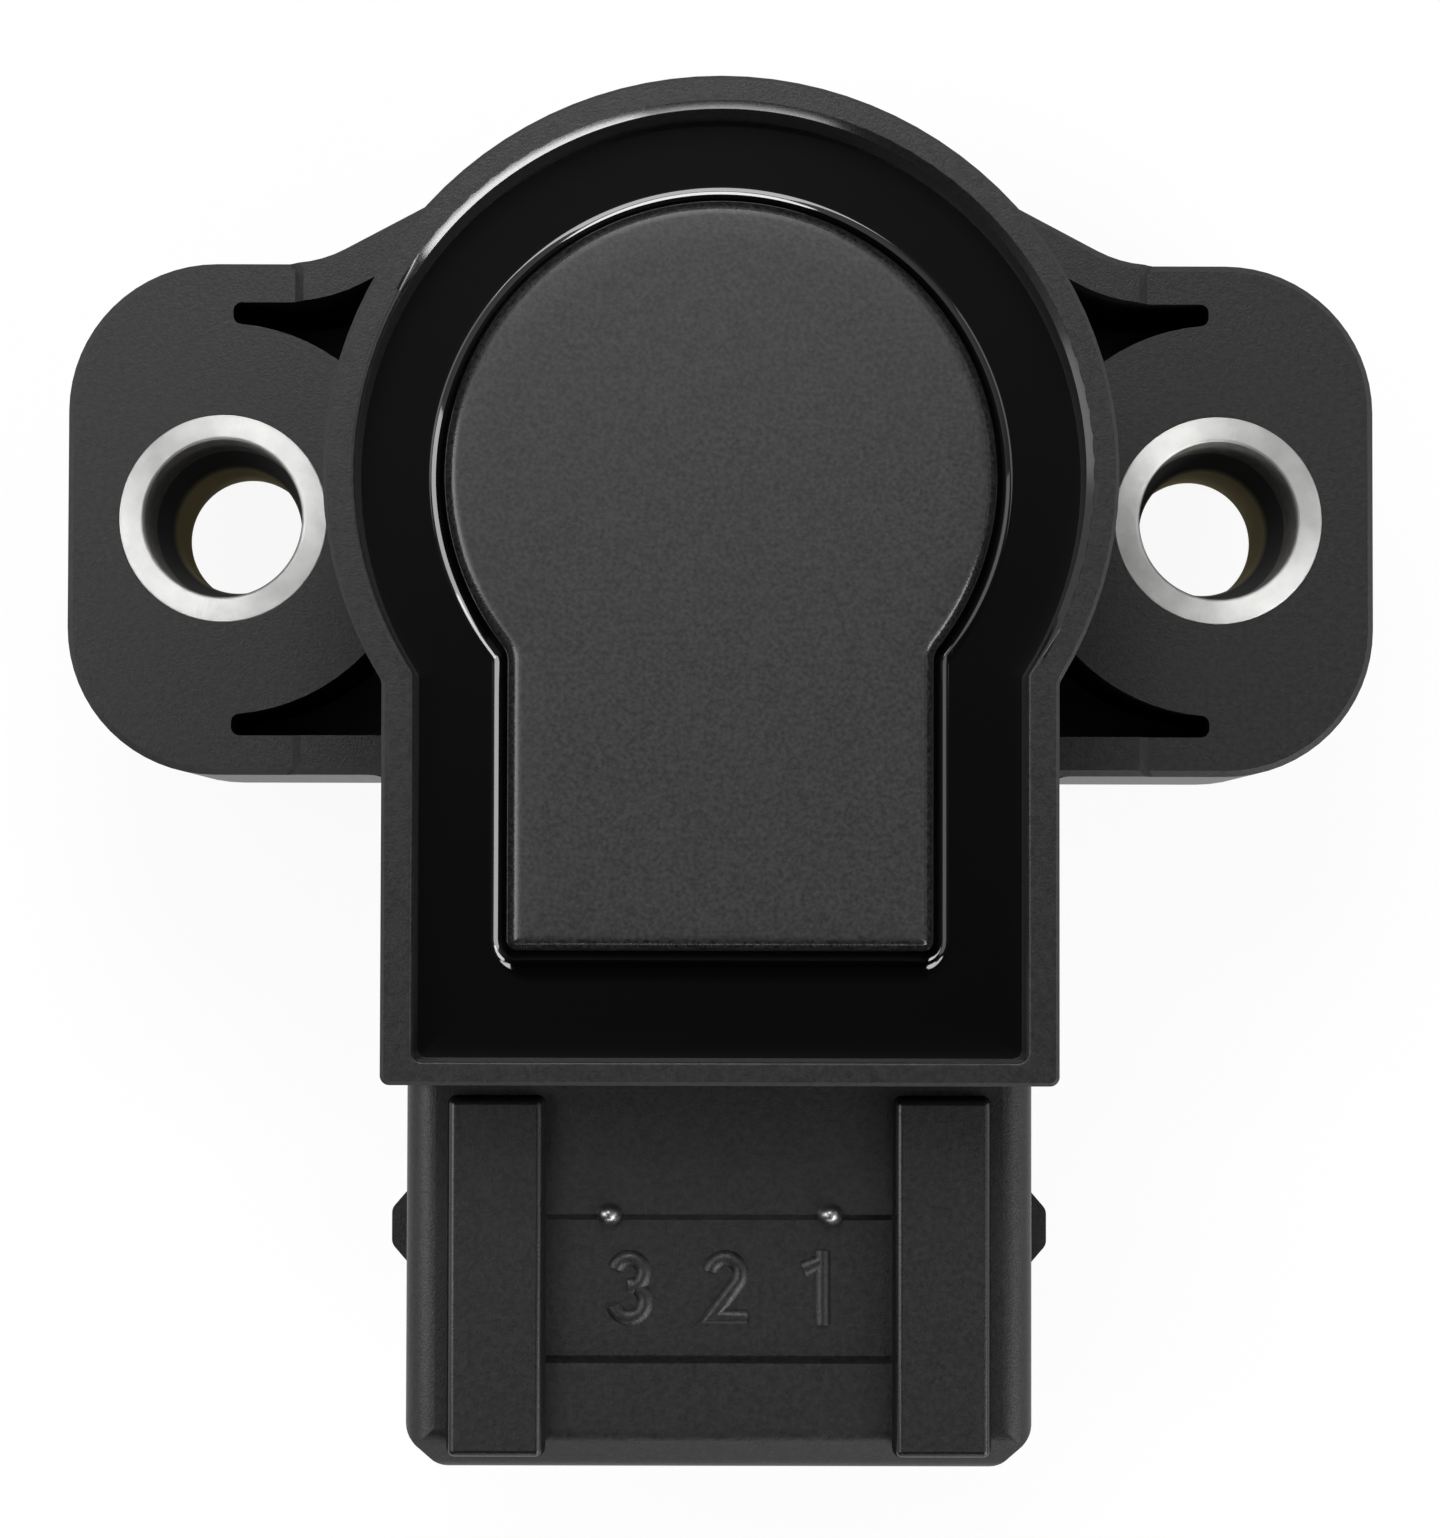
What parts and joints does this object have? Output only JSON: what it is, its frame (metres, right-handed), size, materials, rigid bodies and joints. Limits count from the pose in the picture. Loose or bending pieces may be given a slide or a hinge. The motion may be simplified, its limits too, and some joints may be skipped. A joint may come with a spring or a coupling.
{
  "type": "throttle position sensor",
  "caption": "Flange-mounted rotary sensor with a potted keyhole body, sleeved screw ears, a blade connector and a sprung rotor turned by a D-shaped shaft.",
  "frame": {"origin": "on the rotor axis, in the plane of the mounting face, midway between the two screws", "axes": "+X along the two screws, +Y away from the connector, +Z away from the throttle body towards the cover"},
  "size_m": [0.0434, 0.0449, 0.02],
  "materials": {
    "housing_plastic": "fine moulded texture",
    "cover_plastic": "fine moulded texture",
    "potting": "cast, glossy",
    "sleeve_steel": "turned, plated",
    "rotor_plastic": "natural moulding",
    "contact_brass": "stamped",
    "board": "laminate",
    "terminal_tin": "tin plated",
    "solder": "cast",
    "spring_steel": "rolled strip",
    "seal_rubber": "moulded"
  },
  "bodies": {
    "housing": {"housing": "housing_plastic", "left_sleeve": "sleeve_steel", "right_sleeve": "sleeve_steel", "cover": "cover_plastic", "potting_seal": "potting", "track_board": "board", "terminal_1": "terminal_tin", "terminal_2": "terminal_tin", "terminal_3": "terminal_tin", "solder_joints": "solder", "return_spring": "spring_steel", "rotor_seal": "seal_rubber"},
    "rotor": {"rotor": "rotor_plastic", "wiper": "contact_brass"}
  },
  "joints": [
    {"name": "rotor_turn", "type": "hinge", "parent": "housing", "child": "rotor", "pos_m": [0, 0, 0], "axis": [0, 0, 1], "range_deg": [0, 95], "stiffness_Nm_per_rad": 0.006, "springref_deg": -91.67, "deforming": ["return_spring"]}
  ]
}
